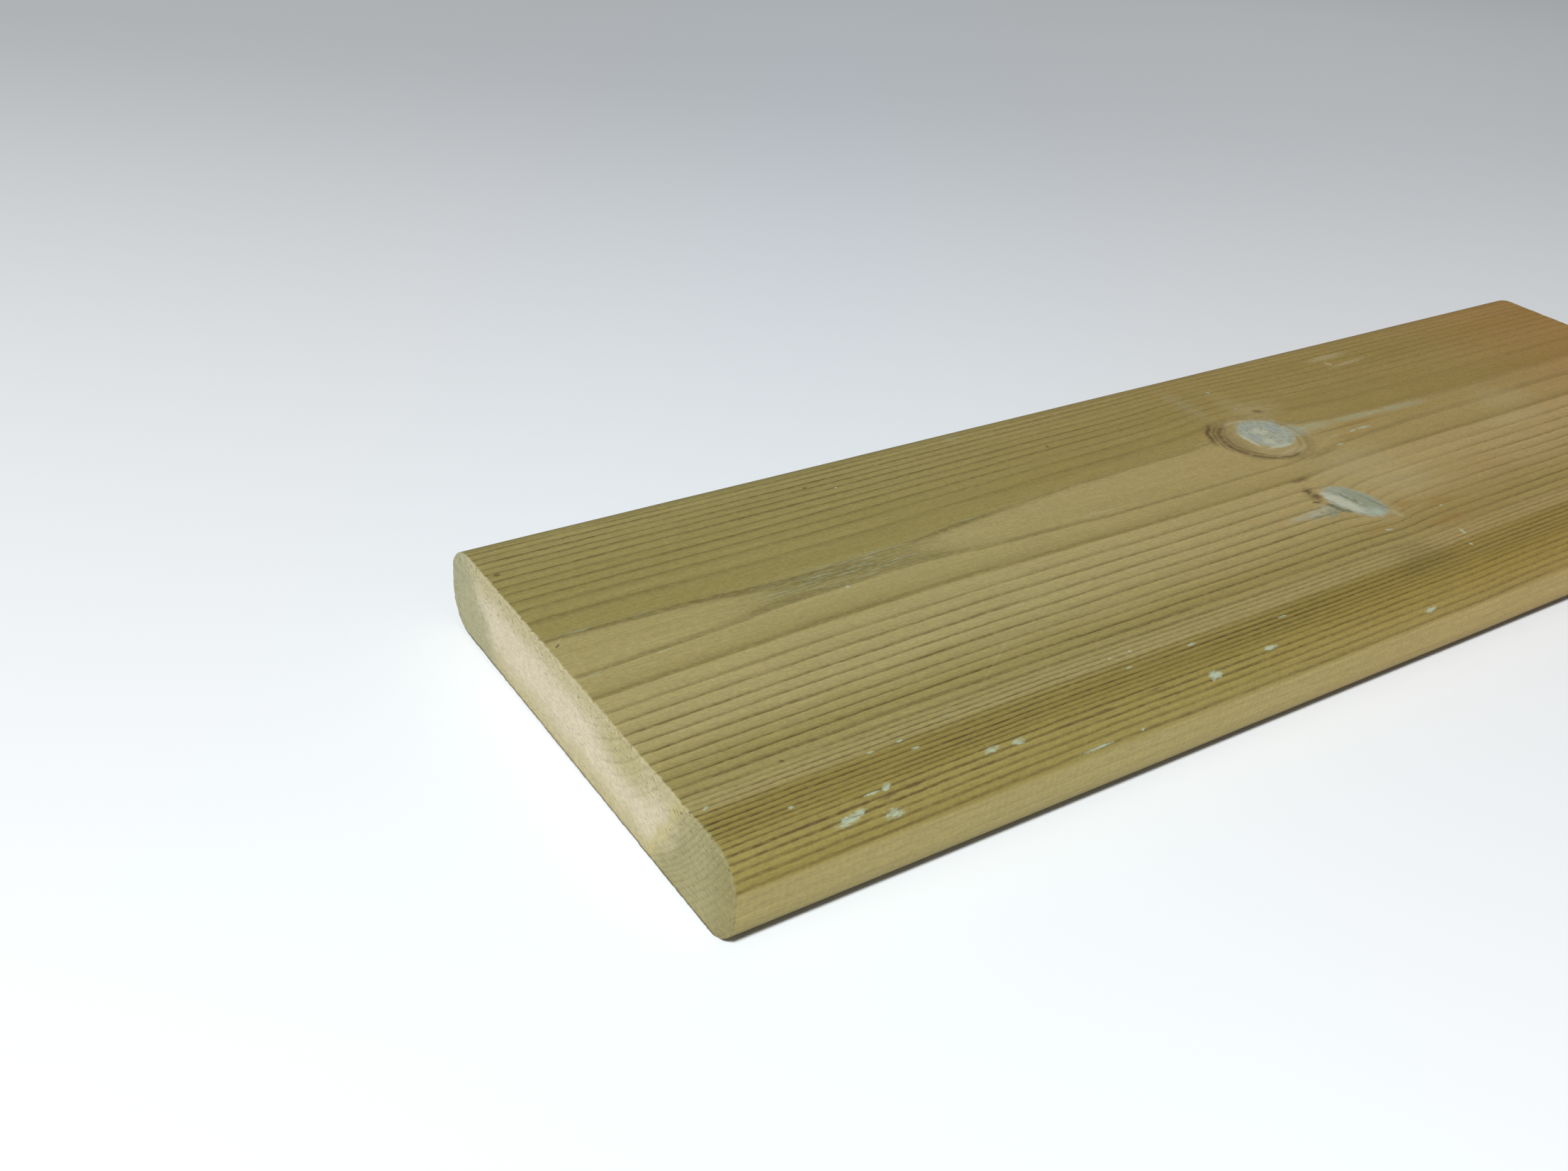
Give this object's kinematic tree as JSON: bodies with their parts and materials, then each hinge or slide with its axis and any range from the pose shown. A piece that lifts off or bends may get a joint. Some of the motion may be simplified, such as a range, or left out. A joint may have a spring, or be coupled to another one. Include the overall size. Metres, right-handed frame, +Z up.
{
  "type": "timber plank",
  "caption": "Straight planed softwood plank with rounded long edges and square-cut ends, pressure-treated to a green-brown tone, for decking, benches, fencing or shelving.",
  "frame": {"origin": "centre of the back face, on the surface that the plank lies on", "axes": "+X along the grain and the length, +Y across the width, +Z up through the thickness"},
  "size_m": [0.445, 0.145, 0.025],
  "materials": {
    "treated_softwood": "planed, matt, green-brown preservative-treated softwood with visible growth rings and knots"
  },
  "bodies": {
    "root": {"plank": "treated_softwood"}
  },
  "joints": []
}
